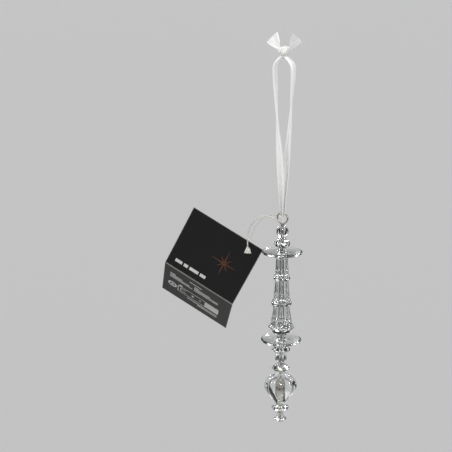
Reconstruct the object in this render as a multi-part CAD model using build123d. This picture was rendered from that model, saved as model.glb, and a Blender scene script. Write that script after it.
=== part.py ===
from build123d import *
import math
import os

os.makedirs("parts", exist_ok=True)

# An acrylic icicle ornament: clear beads threaded on an eye pin, hung from a ribbon loop, with a
# folded card tag on a nylon loop. The origin is the underside of the ribbon's top bend, +Z up,
# -Y towards the front, millimetres.

# Ribbon
HANG = 90.7  # top bend's underside to the centre of the wire at the top of the eye
RIBBON_W = 10.0
RIBBON_T = 0.5  # sheer cloth with its folds, as a plain solid
PEG_D = 9.0  # the peg or hook that the loop is made for
PEG_CLEAR = 0.6
GATHER_W = 2.4  # width where the ribbon passes through the eye
GATHER_T = 0.8
RIBBON_GAP = 0.12  # between ribbon and wire
KNOT_W, KNOT_D, KNOT_H = 7.4, 6.4, 5.6
KNOT_LIFT = 1.4  # knot's underside above the top bend
TAIL_L = 11.5
TAIL_TILT = 36.0

# Eye pin
WIRE_D = 1.0
EYE_W = 7.6  # over the wire
EYE_DROP = 4.5  # eye's centre to the top of the first bead
PIN_D = 1.6
HEAD_D, HEAD_H = 2.8, 1.1

# Beads
BORE_CLEAR = 0.06  # radial, on the pin
PLAY = 0.12  # between two beads
BALL_D = 7.5
NECK_D, NECK_H = 4.7, 1.6
CROWN_D, CROWN_H, CROWN_LOBES = 10.2, 4.6, 10
SAUCER_D = 24.5
SAUCER_T = 1.3
SAUCER_DISH = 1.2  # rim above the middle
HUB_D = 5.6
UPPER_HUB_H, LOWER_HUB_H = 3.6, 4.4
COLUMN_FLUTES = 16
COLUMN_UPPER = (7.2, 9.4, 13.0)  # top and bottom width, height
COLUMN_MIDDLE = (8.4, 11.4, 13.4)
COLUMN_SKIRT = (10.2, 16.0, 14.2)
SKIRT_HOLLOW = 5.0  # depth of the hollow under the skirt
SKIRT_WALL = 1.6
RING_UPPER_D, RING_UPPER_H = 10.2, 2.0
RING_LOWER_D, RING_LOWER_H = 12.4, 2.2
COLLAR_D, COLLAR_H = 11.0, 3.8
FACETED_D, FACETED_H, FACETS = 11.5, 4.2, 12
STEM_D, STEM_H = 3.4, 2.2
SMALL_D, SMALL_H = 7.0, 5.8
LOBED_D, LOBED_H, LOBED_LOBES = 11.0, 5.8, 8
WAIST_D, WAIST_H = 4.6, 1.6
TURNIP_D, TURNIP_H, TURNIP_LOBES = 20.0, 19.4, 8
DISC_D, DISC_H = 10.5, 4.6
TIP_D, TIP_H = 7.6, 6.0
LOBE_BULGE = 0.32  # rise of a lobe's arc, as a share of its chord

# Tag
LEAF_W, LEAF_L, LEAF_T = 50.0, 41.0, 0.4
LEAF_LEAN = 28.0  # turn of the tag in its own plane
TAG_YAW = 8.0  # turn of the tag's face towards +X
TAG_CLEAR = 0.35  # tag's corner to the upper saucer's rim
CREASE = 0.3  # gap at the fold, and between the closed leaves
OPENING = 135.0  # between the leaves
HOLE_D = 3.0
HOLE_SIDE, HOLE_EDGE = 8.0, 5.0  # hole's centre from the leaf's side and end
FILAMENT_D = 0.8
LOCK_W, LOCK_L, LOCK_T = 4.6, 4.0, 1.2

bore_r = PIN_D / 2 + BORE_CLEAR
eye_r = (EYE_W - WIRE_D) / 2
eye_z = -HANG - eye_r
stack_top = eye_z - EYE_DROP
# The wire curves down beside its top, so the bight hangs that much lower to clear it.
bight_r = WIRE_D / 2 + RIBBON_GAP + eye_r - math.sqrt(eye_r**2 - (GATHER_W / 2) ** 2)


def turned(*outline):
    """Solid of revolution about Z from (r, z) points; a third value is the arc's sagitta."""
    edges = [
        SagittaArc(a[:2], b[:2], b[2]) if len(b) == 3 else Line(a[:2], b[:2])
        for a, b in zip(outline, outline[1:])
    ]
    edges.append(Line(outline[-1][:2], outline[0][:2]))
    return revolve(Plane.XZ * make_face(Curve() + edges), Axis.Z)


def scalloped(radius, count, z):
    """Closed outline of equal outward arcs whose crests reach the radius."""
    half = math.pi / count
    valley = radius / (math.cos(half) + 2 * LOBE_BULGE * math.sin(half))
    corners = [Vector(valley, 0).rotate(Axis.Z, 360 * k / count) for k in range(count)]
    sagitta = LOBE_BULGE * 2 * valley * math.sin(half)
    arcs = [
        SagittaArc(corners[k], corners[(k + 1) % count], -sagitta) for k in range(count)
    ]
    return Plane.XY.offset(z) * make_face(Curve() + arcs)


def lobed(count, *levels, ruled=False):
    """Lobed body through scalloped outlines at (z, radius) levels."""
    return loft([scalloped(r, count, z) for z, r in levels], ruled=ruled)


def ball():
    """Top ball, flat where the bore comes out."""
    half = BALL_D / 2
    flat = 1.5
    end = math.sqrt(half**2 - flat**2)
    body = Pos(0, 0, -end) * Sphere(half)
    return body & Pos(0, 0, -end) * Cylinder(half + 1, 2 * end), 2 * end


def neck():
    """Short barrel under the ball."""
    r = NECK_D / 2
    return turned(
        (0, 0), (r * 0.8, 0), (r * 0.8, -NECK_H, 0.3 * NECK_H), (0, -NECK_H)
    ), NECK_H


def crown():
    """Flat melon bead above the upper saucer."""
    r, h = CROWN_D / 2, CROWN_H
    return lobed(
        CROWN_LOBES,
        (0, r * 0.55),
        (-h * 0.2, r * 0.86),
        (-h * 0.5, r),
        (-h * 0.8, r * 0.86),
        (-h, r * 0.55),
    ), h


def saucer(hub_h):
    """Thin dished flange with a hub above it."""
    r, hub, t = SAUCER_D / 2, HUB_D / 2, SAUCER_T
    low = -hub_h - t
    body = turned(
        (0, 0),
        (hub * 0.8, 0),
        (hub, -hub_h, -0.1 * hub_h),
        (r - 1.2, -hub_h + SAUCER_DISH, 0.6),
        (r - 0.2, -hub_h + SAUCER_DISH + 0.1),
        (r, -hub_h + SAUCER_DISH - 0.3),
        (r - 0.4, -hub_h + SAUCER_DISH - 0.9 * t),
        (hub * 1.4, low, -0.6),
        (0, low),
    )
    return body, hub_h + t


def column(top, bottom, height):
    """Fluted length of the column, widening downwards to a crown at its foot."""
    return lobed(
        COLUMN_FLUTES,
        (0, top / 2),
        (-height * 0.72, top / 2 + 0.45 * (bottom - top) / 2),
        (-height, bottom / 2),
        ruled=True,
    ), height


def skirt():
    """Lowest length of the column, hollow underneath."""
    body, height = column(*COLUMN_SKIRT)
    r = COLUMN_SKIRT[1] / 2 - SKIRT_WALL
    hollow = turned(
        (0, -height + SKIRT_HOLLOW),
        (r * 0.55, -height + SKIRT_HOLLOW),
        (r, -height, -0.3),
        (0, -height),
    )
    core = Pos(0, 0, -height + SKIRT_HOLLOW / 2) * Cylinder(HUB_D / 2, SKIRT_HOLLOW)
    return body - (hollow - core), height


def ring(width, height):
    """Round-edged ring."""
    r = width / 2 - height / 2
    return turned((0, 0), (r, 0), (r, -height, height / 2 - 0.001), (0, -height)), height


def faceted():
    """Twelve-sided cut bead on a short stem."""
    r, h = FACETED_D / 2, FACETED_H
    levels = [(0, 0.5), (-h * 0.36, 0.98), (-h * 0.5, 1.0), (-h * 0.64, 0.98), (-h, 0.5)]
    faces = [
        Plane.XY.offset(-STEM_H + z) * RegularPolygon(r * share, FACETS)
        for z, share in levels
    ]
    stem = Pos(0, 0, -STEM_H / 2) * Cylinder(STEM_D / 2, STEM_H)
    return stem + loft(faces, ruled=True), STEM_H + h


def small():
    """Small round bead with necks."""
    r, h = SMALL_D / 2, SMALL_H
    return turned(
        (0, 0),
        (STEM_D / 2, 0),
        (STEM_D / 2, -h * 0.1),
        (r, -h * 0.5, 0.14 * h),
        (STEM_D / 2, -h * 0.9, 0.14 * h),
        (STEM_D / 2, -h),
        (0, -h),
    ), h


def lobed_bead():
    """Melon bead with a waist above it."""
    r, h = LOBED_D / 2, LOBED_H
    waist = Pos(0, 0, -WAIST_H / 2) * Cylinder(WAIST_D / 2, WAIST_H)
    body = lobed(
        LOBED_LOBES,
        (-WAIST_H, r * 0.5),
        (-WAIST_H - h * 0.2, r * 0.84),
        (-WAIST_H - h * 0.5, r),
        (-WAIST_H - h * 0.8, r * 0.86),
        (-WAIST_H - h, r * 0.56),
    )
    return waist + body, WAIST_H + h


def turnip():
    """Large lobed ball, widest above its middle and conical below."""
    r, h = TURNIP_D / 2, TURNIP_H
    shares = [
        (0.0, 0.34),
        (0.07, 0.62),
        (0.2, 0.88),
        (0.38, 1.0),
        (0.55, 0.92),
        (0.75, 0.66),
        (0.92, 0.4),
        (1.0, 0.32),
    ]
    return lobed(TURNIP_LOBES, *[(-h * down, r * wide) for down, wide in shares]), h


def disc():
    """Flat bead with a bevelled edge under the turnip."""
    r, h = DISC_D / 2, DISC_H
    return turned(
        (0, 0),
        (r * 0.42, 0),
        (r * 0.42, -h * 0.2),
        (r, -h * 0.45, 0.15),
        (r, -h * 0.68),
        (r * 0.42, -h, 0.15),
        (0, -h),
    ), h


def tip():
    """Bell that ends the icicle."""
    r, h = TIP_D / 2, TIP_H
    return turned(
        (0, 0),
        (r * 0.62, 0),
        (r * 0.56, -h * 0.45, -0.35),
        (r, -h * 0.86, -0.45),
        (r * 0.9, -h),
        (0, -h),
    ), h


BEADS = {
    "top_ball": ball(),
    "neck_bead": neck(),
    "upper_rondelle": crown(),
    "upper_saucer": saucer(UPPER_HUB_H),
    "column_upper": column(*COLUMN_UPPER),
    "column_ring_upper": ring(RING_UPPER_D, RING_UPPER_H),
    "column_middle": column(*COLUMN_MIDDLE),
    "column_ring_lower": ring(RING_LOWER_D, RING_LOWER_H),
    "column_skirt": skirt(),
    "collar_ring": ring(COLLAR_D, COLLAR_H),
    "lower_saucer": saucer(LOWER_HUB_H),
    "faceted_rondelle": faceted(),
    "small_bead": small(),
    "lobed_bead": lobed_bead(),
    "turnip_ball": turnip(),
    "lower_disc": disc(),
    "bell_tip": tip(),
}


def threaded():
    """Every bead with its bore, at its place down the pin, and the height of the lowest face."""
    placed, z = {}, stack_top
    for name, (body, height) in BEADS.items():
        bore = Pos(0, 0, -height / 2) * Cylinder(bore_r, height + 2)
        placed[name] = (Pos(0, 0, z) * (body - bore), z, height)
        z -= height + PLAY
    return placed, z


def eye_pin(bottom):
    """Wire bent to a teardrop eye, merged into the shank, with a head under the tip."""
    foot = (PIN_D - WIRE_D) / 2 + 0.12
    drop = EYE_DROP - 0.5
    reach = math.hypot(drop, foot)
    turn = math.acos(eye_r / reach) - math.atan2(foot, drop)
    touch = (eye_r * math.sin(turn), eye_z - eye_r * math.cos(turn))
    right = Line((foot, eye_z - drop), touch)
    left = Line((-touch[0], touch[1]), (-foot, eye_z - drop))
    over = ThreePointArc(touch, (0, eye_z + eye_r), (-touch[0], touch[1]))
    path = Plane.XZ * (Curve() + [right, over, left])
    section = Plane(origin=path @ 0, z_dir=path % 0) * Circle(WIRE_D / 2)
    eye = sweep(section, path=path)
    top, low = eye_z - drop + 0.35, bottom - HEAD_H
    shank = Pos(0, 0, (top + bottom) / 2) * Cylinder(PIN_D / 2, top - bottom)
    head = Pos(0, 0, (low + bottom) / 2) * Cylinder(HEAD_D / 2, HEAD_H)
    head = fillet(head.edges().group_by(Axis.Z)[0], HEAD_H * 0.45)
    return eye + shank + head


def band(turn, offset, width, thick, z):
    """Cross-section of one strand, square to Z, at its offset in the direction of turn."""
    place = Pos(0, 0, z) * Rot(0, 0, turn) * Pos(-offset, 0, 0)
    return place * Rectangle(thick, width)


def strand(side):
    """One strand of the ribbon, from the knot to the eye, with a quarter turn on the way."""
    out = PEG_D / 2 + PEG_CLEAR + RIBBON_T / 2
    at_eye = bight_r + GATHER_T / 2
    levels = [  # height, turn, offset, width, thickness
        (KNOT_LIFT, 0, RIBBON_T * 0.9, RIBBON_W * 0.55, RIBBON_T),
        (-PEG_D * 0.12, 0, out * 0.62, RIBBON_W * 0.66, RIBBON_T),
        (-PEG_D * 0.4, 0, out * 0.97, RIBBON_W * 0.8, RIBBON_T),
        (-PEG_D * 0.8, 0, out, RIBBON_W * 0.86, RIBBON_T),
        (-HANG * 0.25, 14, out * 0.8, RIBBON_W * 0.92, RIBBON_T),
        (-HANG * 0.45, 36, out * 0.6, RIBBON_W * 0.9, RIBBON_T),
        (-HANG * 0.65, 60, out * 0.43, RIBBON_W * 0.78, RIBBON_T),
        (-HANG * 0.83, 82, at_eye * 1.35, RIBBON_W * 0.5, RIBBON_T * 1.2),
        (-HANG * 0.94, 90, at_eye, GATHER_W * 1.1, GATHER_T),
        (-HANG, 90, at_eye, GATHER_W, GATHER_T),
    ]
    return loft(
        [band(turn + side, offset, w, t, z) for z, turn, offset, w, t in levels],
        ruled=True,
    )


def ribbon_loop():
    """Both strands and the bight that carries the eye."""
    section = Plane.XY.offset(-HANG) * Pos(0, -bight_r - GATHER_T / 2, 0) * Rectangle(
        GATHER_W, GATHER_T
    )
    bight = revolve(section, Axis((0, 0, -HANG), (1, 0, 0)), revolution_arc=180)
    return strand(0) + strand(180) + bight


def knot():
    """Plain lump for the overhand knot."""
    body = Box(KNOT_W, KNOT_D, KNOT_H)
    body = fillet(body.edges(), 0.42 * KNOT_H)
    return Pos(0, 0, KNOT_LIFT + KNOT_H / 2) * body


def tail(side, lump):
    """Short end of the ribbon that leaves the knot upwards and outwards."""
    piece = Pos(0, 0, TAIL_L / 2) * Box(RIBBON_T, RIBBON_W * 0.9, TAIL_L)
    piece = piece - Pos(0, -RIBBON_W / 2, TAIL_L) * Rot(24, 0, 0) * Box(
        2 * RIBBON_T, RIBBON_W * 2, 3.0
    )
    place = Pos(side * KNOT_W * 0.26, 0, KNOT_LIFT + KNOT_H * 0.55)
    return place * Rot(0, side * TAIL_TILT, 0) * piece - lump


placed, pin_bottom = threaded()
_, saucer_z, saucer_h = placed["upper_saucer"]
rim_z = saucer_z - UPPER_HUB_H + SAUCER_DISH / 2
corner = Vector(-(SAUCER_D / 2 + TAG_CLEAR), 0, rim_z)

# The tag's own frame: x along its end from the outer to the inner corner, y from the fold to
# the hung end, z out of the printed face. Its origin is the corner beside the saucer.
facing = Rot(0, 0, TAG_YAW) * Rot(90, 0, 0) * Rot(0, 0, -LEAF_LEAN)
tag_frame = Pos(*corner) * facing


def leaf():
    """One leaf, its hung end at y 0 and its outer face at z 0."""
    return Pos(-LEAF_W / 2, -LEAF_L / 2, -LEAF_T / 2) * Box(LEAF_W, LEAF_L, LEAF_T)


def tag():
    """Front leaf with its hole, back leaf turned about the fold, and the lock on the hole."""
    hole = Pos(-HOLE_SIDE, -HOLE_EDGE, -LEAF_T / 2) * Cylinder(HOLE_D / 2, 2 * LEAF_T)
    front = tag_frame * (leaf() - hole)
    fold = Pos(0, -LEAF_L - CREASE / 2, -LEAF_T - CREASE / 2)
    closed = Pos(0, LEAF_L + CREASE / 2, -CREASE / 2) * leaf()
    back = tag_frame * fold * Rot(-OPENING, 0, 0) * closed
    fan = make_face(
        Polyline(
            (-LOCK_W / 2, -LOCK_L / 2),
            (LOCK_W / 2, -LOCK_L / 2),
            (0.6, LOCK_L / 2),
            (-0.6, LOCK_L / 2),
            close=True,
        )
    )
    lock = Pos(-HOLE_SIDE, -HOLE_EDGE, 0.05) * Rot(0, 0, LEAF_LEAN) * extrude(fan, LOCK_T)
    return front, back, tag_frame * fold, tag_frame * lock


front_leaf, back_leaf, fold_place, lock = tag()


# The nylon loop's route: from the lock up and over to the eye, through the eye's foot, and back
# behind the leaf to its hole. The points stay as chosen.
FILAMENT_ROUTE = [
    (-21.83, -1.95, -113.59),
    (-21.7, -3.3, -105.2),
    (-17.6, -4.8, -96.6),
    (-9.6, -5.4, -91.8),
    (-2.2, -5.0, -93.6),
    (0.8, 0.0, -97.9),
    (-2.4, 5.0, -94.4),
    (-9.8, 5.2, -93.2),
    (-17.4, 4.6, -97.8),
    (-21.6, 3.7, -105.6),
    (-22.1, 2.3, -112.4),
    (-21.912, -1.359, -115.593),
]
RUN_SHARE = 0.45


def filament():
    """Round nylon filament along its route, with the largest tangent arcs its runs allow."""
    points = [Vector(*p) for p in FILAMENT_ROUTE]
    runs = [b - a for a, b in zip(points, points[1:])]
    radii = [
        RUN_SHARE
        * min(a.length, b.length)
        / math.tan(math.radians(a.get_angle(b)) / 2)
        for a, b in zip(runs, runs[1:])
    ]
    print("filament radii", [round(r, 1) for r in radii])
    path = FilletPolyline(*points, radius=radii)
    section = Plane(origin=path @ 0, z_dir=path % 0) * Circle(FILAMENT_D / 2)
    tube = sweep(section, path=path)
    ideal = math.pi * (FILAMENT_D / 2) ** 2 * path.length
    print("filament length", round(path.length, 1), "volume share", round(tube.volume / ideal, 4))
    return tube


lump = knot()
parts = {
    "ribbon_loop": ribbon_loop(),
    "ribbon_knot": lump,
    "ribbon_tail_left": tail(-1, lump),
    "ribbon_tail_right": tail(1, lump),
    "eye_pin": eye_pin(pin_bottom),
    **{name: body for name, (body, _, _) in placed.items()},
    "tag_front_leaf": front_leaf,
    "tag_back_leaf": back_leaf,
    "tag_lock": lock,
    "tag_filament": filament(),
}

for name, body in parts.items():
    export_step(body, f"parts/{name}.step")

fold = Plane(fold_place)
rims = [
    placed[name][1] - hub_h + SAUCER_DISH / 2
    for name, hub_h in (("upper_saucer", UPPER_HUB_H), ("lower_saucer", LOWER_HUB_H))
]
print("eye centre", round(eye_z, 3), "pin bottom", round(pin_bottom - HEAD_H, 3))
print("saucer rims", [round(z, 2) for z in rims])
print("fold at", fold.origin, "along", fold.x_dir)
print("hole at", Plane(tag_frame * Pos(-HOLE_SIDE, -HOLE_EDGE, 0)).origin)
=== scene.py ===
"""Acrylic icicle ornament on a sheer ribbon, with its folded card tag, in metres in the CAD frame."""

import itertools
import logging
import math
from collections.abc import Callable, Sequence
from dataclasses import dataclass
from enum import Enum

import bmesh
import bpy
from mathutils import Matrix, Vector


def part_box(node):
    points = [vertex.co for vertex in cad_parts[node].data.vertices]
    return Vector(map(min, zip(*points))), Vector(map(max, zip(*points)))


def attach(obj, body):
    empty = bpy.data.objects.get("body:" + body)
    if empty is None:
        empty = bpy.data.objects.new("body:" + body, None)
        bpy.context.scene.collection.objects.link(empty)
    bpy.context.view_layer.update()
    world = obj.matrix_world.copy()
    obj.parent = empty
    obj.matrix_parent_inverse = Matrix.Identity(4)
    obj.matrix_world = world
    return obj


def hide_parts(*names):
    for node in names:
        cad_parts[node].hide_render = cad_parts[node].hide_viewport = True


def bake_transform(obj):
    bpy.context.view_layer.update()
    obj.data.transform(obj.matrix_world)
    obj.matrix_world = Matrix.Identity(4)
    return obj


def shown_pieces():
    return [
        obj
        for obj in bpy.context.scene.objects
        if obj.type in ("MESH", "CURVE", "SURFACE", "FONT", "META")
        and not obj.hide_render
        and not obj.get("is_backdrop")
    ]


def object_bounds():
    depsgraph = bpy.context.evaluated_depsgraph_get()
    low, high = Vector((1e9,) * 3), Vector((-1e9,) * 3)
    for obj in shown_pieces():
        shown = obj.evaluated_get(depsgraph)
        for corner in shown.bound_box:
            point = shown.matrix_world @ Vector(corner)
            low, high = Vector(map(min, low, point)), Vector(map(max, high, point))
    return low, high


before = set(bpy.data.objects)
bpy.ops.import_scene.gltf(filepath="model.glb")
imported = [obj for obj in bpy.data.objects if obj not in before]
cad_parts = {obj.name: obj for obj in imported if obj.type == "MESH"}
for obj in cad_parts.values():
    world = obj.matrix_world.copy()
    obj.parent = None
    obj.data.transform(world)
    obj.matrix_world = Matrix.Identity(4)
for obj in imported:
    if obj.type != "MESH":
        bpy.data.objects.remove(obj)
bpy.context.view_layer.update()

log = logging.getLogger("icicle")
MM = 0.001


class Slot(Enum):
    """Material slots of the record that the pieces take their finish from."""

    ORGANZA = "organza"
    WIRE = "wire"
    ACRYLIC = "clear_acrylic"
    BLACK_CARD = "black_card"
    CHARCOAL_CARD = "charcoal_card"
    NYLON = "nylon"


class Body(Enum):
    """Bodies that new pieces ride on; each bead has one of its own."""

    RIBBON = "ribbon"
    PENDANT = "pendant"
    TAG = "tag"
    TAG_BACK = "tag_back"


def linear(colour: str, alpha: float = 1.0) -> tuple[float, float, float, float]:
    """Turn an sRGB hex colour into linear values.

    Args:
        colour: Six hex digits after a hash sign.
        alpha: Fourth value of the result.

    Returns:
        Linear red, green, blue and alpha.
    """
    parts = [int(colour[k : k + 2], 16) / 255 for k in (1, 3, 5)]
    r, g, b = (p / 12.92 if p <= 0.04045 else ((p + 0.055) / 1.055) ** 2.4 for p in parts)
    return r, g, b, alpha


def add_node(
    tree: bpy.types.NodeTree,
    kind: str,
    inputs: dict | None = None,
    **settings: object,
) -> bpy.types.Node:
    """Add one node with its settings, values and links.

    Args:
        tree: Node tree that it goes into.
        kind: Blender's name for the node type.
        inputs: Socket name or number to a constant, or to the socket that feeds it.
        **settings: The node's own properties.

    Returns:
        The new node.
    """
    node = tree.nodes.new(kind)
    for key, value in settings.items():
        setattr(node, key, value)
    feed(tree, node, inputs or {})
    return node


def feed(tree: bpy.types.NodeTree, node: bpy.types.Node, inputs: dict) -> None:
    """Set or link a node's inputs.

    Args:
        tree: Node tree that holds the node.
        node: Node to feed.
        inputs: Socket name or number to a constant or to a socket.
    """
    for key, value in inputs.items():
        if isinstance(value, bpy.types.NodeSocket):
            tree.links.new(value, node.inputs[key])
        else:
            node.inputs[key].default_value = value


@dataclass(frozen=True)
class Finish:
    """Base of every finish: a named Principled material that a subclass dresses."""

    name: str

    def material(self) -> bpy.types.Material:
        """Build the material and return it."""
        made = bpy.data.materials.new(self.name)
        made.use_nodes = True
        self.dress(made.node_tree, made.node_tree.nodes["Principled BSDF"])
        return made

    def dress(self, tree: bpy.types.NodeTree, shader: bpy.types.Node) -> None:
        """Set the shader; each finish has its own."""
        raise NotImplementedError


@dataclass(frozen=True)
class MouldedAcrylic(Finish):
    """Cast-clear PMMA out of a polished mould: sharp highlights, a cool clear body, faint flow ripple."""

    tint: str = "#f3f5f4"
    ripple_mm: float = 2.6  # flow ripple left by the melt
    ripple: float = 0.05
    haze: float = 0.02

    def dress(self, tree: bpy.types.NodeTree, shader: bpy.types.Node) -> None:
        """Clear dielectric with a rippled surface and patches of slight haze."""
        place = add_node(tree, "ShaderNodeTexCoord").outputs["Object"]
        ripple = add_node(
            tree,
            "ShaderNodeTexNoise",
            {"Vector": place, "Scale": 1 / (self.ripple_mm * MM), "Detail": 2.0},
        )
        bump = add_node(
            tree,
            "ShaderNodeBump",
            {"Height": ripple.outputs["Fac"], "Strength": self.ripple, "Distance": 0.3 * MM},
        )
        haze = add_node(
            tree,
            "ShaderNodeMapRange",
            {0: ripple.outputs["Fac"], 1: 0.35, 2: 0.75, 3: self.haze * 0.3, 4: self.haze * 2},
        )
        feed(
            tree,
            shader,
            {
                "Base Color": linear(self.tint),
                "Transmission Weight": 1.0,
                "IOR": 1.49,
                "Roughness": haze.outputs[0],
                "Normal": bump.outputs["Normal"],
            },
        )


@dataclass(frozen=True)
class WovenOrganza(Finish):
    """Polyester organza ribbon: sheer plain weave of stiff shiny threads, with dense woven selvedges."""

    colour: str = "#f6f6f4"
    thread_mm: float = 0.62  # real threads are 0.2 mm apart, too fine to show, so drawn three to one
    cover: float = 0.42  # share of the light that the open weave stops
    bunching: float = 0.55  # added where a pleat stands on edge and its threads lie close
    selvedge: float = 0.075  # share of the width at each edge
    selvedge_cover: float = 0.45  # added there
    slub_stretch: tuple[float, float, float] = (7.0, 0.12, 1.0)  # slubs run along the ribbon
    width_mm: float = 10.0

    def dress(self, tree: bpy.types.NodeTree, shader: bpy.types.Node) -> None:
        """Alpha from warp, weft and selvedge on the ribbon's own UV, where one unit is its width."""
        cloth = add_node(tree, "ShaderNodeUVMap", uv_map="cloth").outputs["UV"]
        split = add_node(tree, "ShaderNodeSeparateXYZ", {0: cloth})
        per_width = self.width_mm / self.thread_mm * math.tau
        threads = []
        for axis in "XY":
            turns = add_node(
                tree, "ShaderNodeMath", {0: split.outputs[axis], 1: per_width}, operation="MULTIPLY"
            )
            wave = add_node(tree, "ShaderNodeMath", {0: turns.outputs[0]}, operation="SINE")
            threads.append(wave.outputs[0])
        weave = add_node(tree, "ShaderNodeMath", {0: threads[0], 1: threads[1]}, operation="MAXIMUM")
        stretched = add_node(
            tree, "ShaderNodeMapping", {"Vector": cloth, "Scale": self.slub_stretch}
        ).outputs[0]
        slubs = add_node(
            tree, "ShaderNodeTexNoise", {"Vector": stretched, "Scale": 2.2, "Detail": 3.0}
        )
        centre = add_node(tree, "ShaderNodeMath", {0: split.outputs["X"], 1: 0.5}, operation="SUBTRACT")
        away = add_node(tree, "ShaderNodeMath", {0: centre.outputs[0]}, operation="ABSOLUTE")
        edge = add_node(
            tree,
            "ShaderNodeMapRange",
            {
                0: away.outputs[0],
                1: 0.5 - self.selvedge,
                2: 0.5 - self.selvedge * 0.6,
                3: 0.0,
                4: self.selvedge_cover,
            },
        )
        woven = add_node(
            tree, "ShaderNodeMapRange", {0: weave.outputs[0], 1: -1.0, 2: 1.0, 3: -0.07, 4: 0.08}
        )
        streak = add_node(
            tree, "ShaderNodeMapRange", {0: slubs.outputs["Fac"], 1: 0.32, 2: 0.68, 3: -0.2, 4: 0.24}
        )
        total = add_node(
            tree, "ShaderNodeMath", {0: woven.outputs[0], 1: streak.outputs[0]}, operation="ADD"
        )
        with_edge = add_node(
            tree, "ShaderNodeMath", {0: total.outputs[0], 1: edge.outputs[0]}, operation="ADD"
        )
        steep = add_node(tree, "ShaderNodeAttribute", attribute_name="bunch").outputs["Fac"]
        bunched = add_node(tree, "ShaderNodeMapRange", {0: steep, 1: 0.25, 2: 0.9, 3: 0.0, 4: self.bunching})
        folded = add_node(
            tree, "ShaderNodeMath", {0: with_edge.outputs[0], 1: bunched.outputs[0]}, operation="ADD"
        )
        alpha = add_node(
            tree, "ShaderNodeMath", {0: folded.outputs[0], 1: self.cover}, operation="ADD", use_clamp=True
        )
        bump = add_node(
            tree,
            "ShaderNodeBump",
            {"Height": weave.outputs[0], "Strength": 0.2, "Distance": 0.05 * MM},
        )
        feed(
            tree,
            shader,
            {
                "Base Color": linear(self.colour),
                "Roughness": 0.42,
                "IOR": 1.54,
                "Sheen Weight": 0.5,
                "Sheen Roughness": 0.35,
                "Alpha": alpha.outputs[0],
                "Normal": bump.outputs["Normal"],
            },
        )


@dataclass(frozen=True)
class DrawnWire(Finish):
    """Nickel-plated steel wire, drawn: bright grey metal with fine lines along it and a warm cast."""

    colour: str = "#c9c5bc"
    line_mm: float = 0.3
    draw: float = 0.15  # the pattern's scale along the pin against across it

    def dress(self, tree: bpy.types.NodeTree, shader: bpy.types.Node) -> None:
        """Polished metal, its roughness broken by draw lines and handling."""
        place = add_node(tree, "ShaderNodeTexCoord").outputs["Object"]
        along = add_node(
            tree, "ShaderNodeMapping", {"Vector": place, "Scale": (1.0, 1.0, self.draw)}
        ).outputs[0]
        lines = add_node(
            tree, "ShaderNodeTexNoise", {"Vector": along, "Scale": 1 / (self.line_mm * MM), "Detail": 2.0}
        )
        rough = add_node(
            tree, "ShaderNodeMapRange", {0: lines.outputs["Fac"], 1: 0.3, 2: 0.7, 3: 0.16, 4: 0.34}
        )
        bump = add_node(
            tree, "ShaderNodeBump", {"Height": lines.outputs["Fac"], "Strength": 0.15, "Distance": 0.02 * MM}
        )
        feed(
            tree,
            shader,
            {
                "Base Color": linear(self.colour),
                "Metallic": 1.0,
                "Roughness": rough.outputs[0],
                "Normal": bump.outputs["Normal"],
            },
        )


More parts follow.
